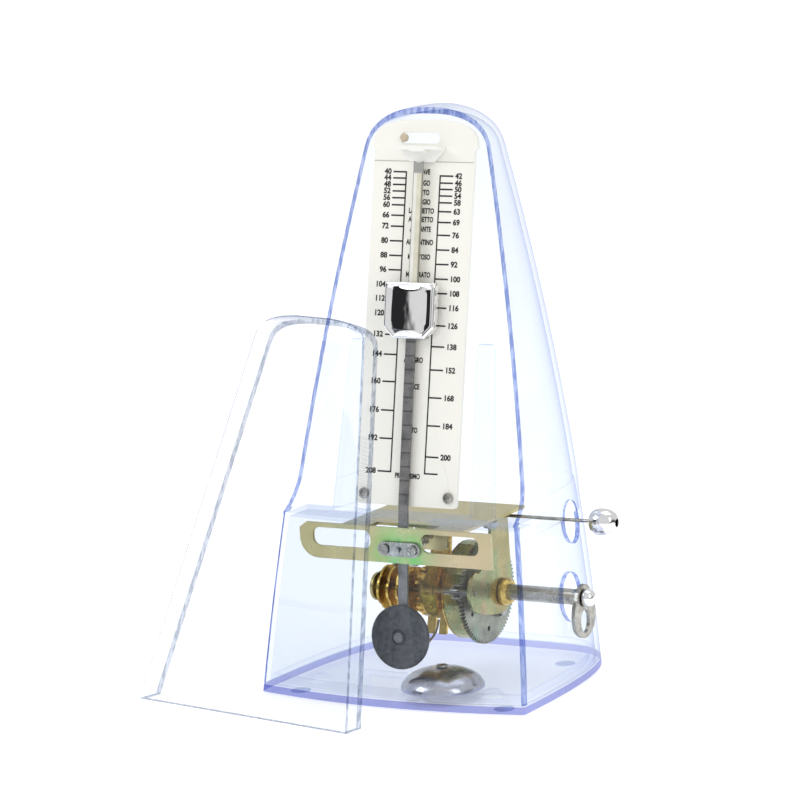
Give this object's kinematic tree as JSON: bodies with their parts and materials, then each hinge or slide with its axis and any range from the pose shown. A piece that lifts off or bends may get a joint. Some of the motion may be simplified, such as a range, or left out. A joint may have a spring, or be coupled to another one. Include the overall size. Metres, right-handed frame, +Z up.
{
  "type": "mechanical metronome",
  "caption": "Wind-up pyramid metronome with a clear case, its movement and bell in view, a tempo scale behind the pendulum and the front cover lifted off.",
  "frame": {"origin": "middle of the flat underside of the base plate, on the table plane", "axes": "+Z up, -Y the open front with the scale, +X the side with the winding key and the bell knob"},
  "size_m": [0.169, 0.1393, 0.2224],
  "materials": {
    "clear_plastic": "clear moulded plastic, glossy",
    "clear_foot": "clear moulded plastic, satin",
    "ivory_plastic": "satin ivory with black print",
    "white_plastic": "satin white",
    "zinc_plate": "yellow chromated zinc plating on steel, iridescent",
    "brass": "stamped brass",
    "chrome": "polished chrome plating",
    "steel": "plain steel, fine brushed",
    "dark_steel": "dark blasted steel",
    "bell_metal": "nickel plated, softly polished",
    "spring_steel": "tempered spring steel"
  },
  "bodies": {
    "case": {"case_shell": "clear_plastic", "base_plate": "clear_plastic", "foot_front_left": "clear_foot", "foot_front_right": "clear_foot", "foot_rear_left": "clear_foot", "foot_rear_right": "clear_foot", "scale_plate": "ivory_plastic", "rod_holder": "white_plastic", "scale_screw_left": "steel", "scale_screw_right": "steel", "front_bracket": "zinc_plate", "right_side_plate": "zinc_plate", "left_side_plate": "zinc_plate", "frame_screw_left": "steel", "frame_screw_right": "steel", "pivot_clamp": "steel", "clamp_screw_left": "steel", "clamp_screw_right": "steel", "winding_bush": "brass", "bell_gong": "bell_metal", "bell_screw": "steel"},
    "pendulum": {"pendulum_rod": "steel", "disc_weight": "dark_steel", "disc_rivet": "steel", "pendulum_arbor": "steel", "pallet_arm": "steel"},
    "tempo_weight": {"sliding_weight": "chrome", "weight_spring": "spring_steel"},
    "key": {"winding_shaft": "steel", "winding_key": "steel", "key_cap": "chrome", "ratchet_wheel": "brass"},
    "barrel": {"great_wheel": "zinc_plate", "spring_barrel": "zinc_plate", "barrel_cover": "brass", "mainspring": "spring_steel", "click_screw": "steel"},
    "pawl": {"click": "steel"},
    "escapement": {"escape_arbor": "steel", "escape_wheel": "brass", "bell_cam_1": "brass", "bell_cam_2": "brass", "bell_cam_3": "brass", "bell_cam_4": "brass"},
    "selector": {"selector_rod": "steel", "selector_knob": "chrome", "selector_collar_left": "brass", "selector_collar_right": "brass"},
    "hammer": {"hammer_lever": "brass", "hammer_wire": "steel"},
    "cover": {"front_cover": "clear_plastic"}
  },
  "joints": [
    {"name": "pendulum_swing", "type": "hinge", "parent": "case", "child": "pendulum", "pos_m": [0, -0.0323, 0.058], "axis": [0, 1, 0], "range_deg": [-20, 20], "stiffness_Nm_per_rad": 0.02},
    {"name": "weight_slide", "type": "slide", "parent": "pendulum", "child": "tempo_weight", "axis": [0, 0.1933, 0.9811], "range_m": [-0.046, 0.044]},
    {"name": "winding_turn", "type": "hinge", "parent": "case", "child": "key", "pos_m": [0.03, 0.0033, 0.0344], "axis": [1, 0, 0], "continuous": true},
    {"name": "great_wheel_turn", "type": "hinge", "parent": "case", "child": "barrel", "pos_m": [0.0153, 0.0033, 0.0344], "axis": [1, 0, 0], "continuous": true},
    {"name": "escape_turn", "type": "hinge", "parent": "case", "child": "escapement", "pos_m": [0, -0.0194, 0.0387], "axis": [1, 0, 0], "continuous": true},
    {"name": "click_tilt", "type": "hinge", "parent": "barrel", "child": "pawl", "pos_m": [0.0173, 0.0097, 0.025], "axis": [1, 0, 0], "range_deg": [-20, 0], "stiffness_Nm_per_rad": 0.002, "springref_deg": 5.73},
    {"name": "selector_slide", "type": "slide", "parent": "case", "child": "selector", "axis": [1, 0, 0], "range_m": [-0.0035, 0.008]},
    {"name": "hammer_swing", "type": "hinge", "parent": "selector", "child": "hammer", "pos_m": [-0.008, 0.013, 0.0623], "axis": [1, 0, 0], "range_deg": [0, 6], "stiffness_Nm_per_rad": 0.03, "springref_deg": -6.88},
    {"name": "cover_lift", "type": "slide", "parent": "case", "child": "cover", "axis": [0, 0, 1], "range_m": [0, 0.24]}
  ],
  "couplings": [
    {"joint": "great_wheel_turn", "follows": "escape_turn", "ratio": -0.125}
  ]
}
